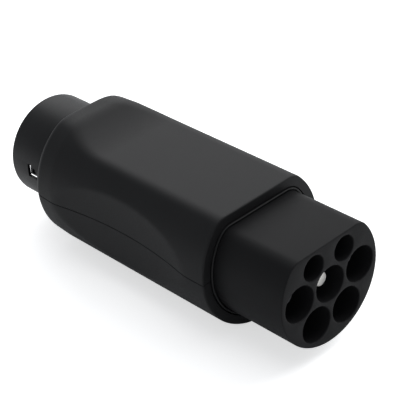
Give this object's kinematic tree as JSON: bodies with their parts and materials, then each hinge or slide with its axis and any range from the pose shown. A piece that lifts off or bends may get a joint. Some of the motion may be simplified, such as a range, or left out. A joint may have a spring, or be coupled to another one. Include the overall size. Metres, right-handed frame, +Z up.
{
  "type": "electric vehicle charging adapter",
  "caption": "Hand-held adapter that joins a round AC charging connector to a flat-topped vehicle plug, with a scooped grip body of black plastic.",
  "frame": {"origin": "middle of the length, on the plane of the flat underside, below the axis", "axes": "+X along the length towards the plug's face, +Z up through the flat top, +Y to the left seen from the inlet"},
  "size_m": [0.1692, 0.065, 0.0611],
  "materials": {
    "shell_plastic": "fine moulded grain",
    "nose_plastic": "satin moulded",
    "barrel_plastic": "satin moulded",
    "seal_rubber": "matt",
    "carrier_plastic": "moulded, glass filled",
    "retainer_plastic": "moulded, glass filled",
    "contact_silver": "silver plated brass",
    "cap_plastic": "smooth",
    "screw_steel": "zinc plated",
    "lead_brown": "smooth jacket",
    "lead_blue": "smooth jacket",
    "lead_green": "smooth jacket with a yellow stripe",
    "lead_white": "smooth jacket",
    "lead_orange": "smooth jacket",
    "resistor_body": "lacquered ceramic"
  },
  "bodies": {
    "root": {"upper_shell": "shell_plastic", "lower_shell": "shell_plastic", "shell_screws": "screw_steel", "nose_body": "nose_plastic", "nose_seal": "seal_rubber", "pin_carrier": "carrier_plastic", "nose_retainer": "retainer_plastic", "nose_retainer_screws": "screw_steel", "plug_pin_l1": "contact_silver", "plug_pin_n": "contact_silver", "plug_pin_pe": "contact_silver", "plug_pin_cp": "contact_silver", "plug_pin_cc": "contact_silver", "pin_cap_l1": "cap_plastic", "pin_cap_n": "cap_plastic", "inlet_barrel": "barrel_plastic", "inlet_insert": "barrel_plastic", "inlet_carrier": "carrier_plastic", "inlet_o_ring": "seal_rubber", "inlet_retainer": "retainer_plastic", "inlet_retainer_screws": "screw_steel", "inlet_pin_l1": "contact_silver", "inlet_pin_n": "contact_silver", "inlet_pin_pe": "contact_silver", "inlet_pin_cp": "contact_silver", "inlet_pin_pp": "contact_silver", "lead_l1": "lead_brown", "lead_n": "lead_blue", "lead_pe": "lead_green", "lead_cp": "lead_white", "lead_cc": "lead_orange", "coding_resistor": "resistor_body"}
  },
  "joints": []
}
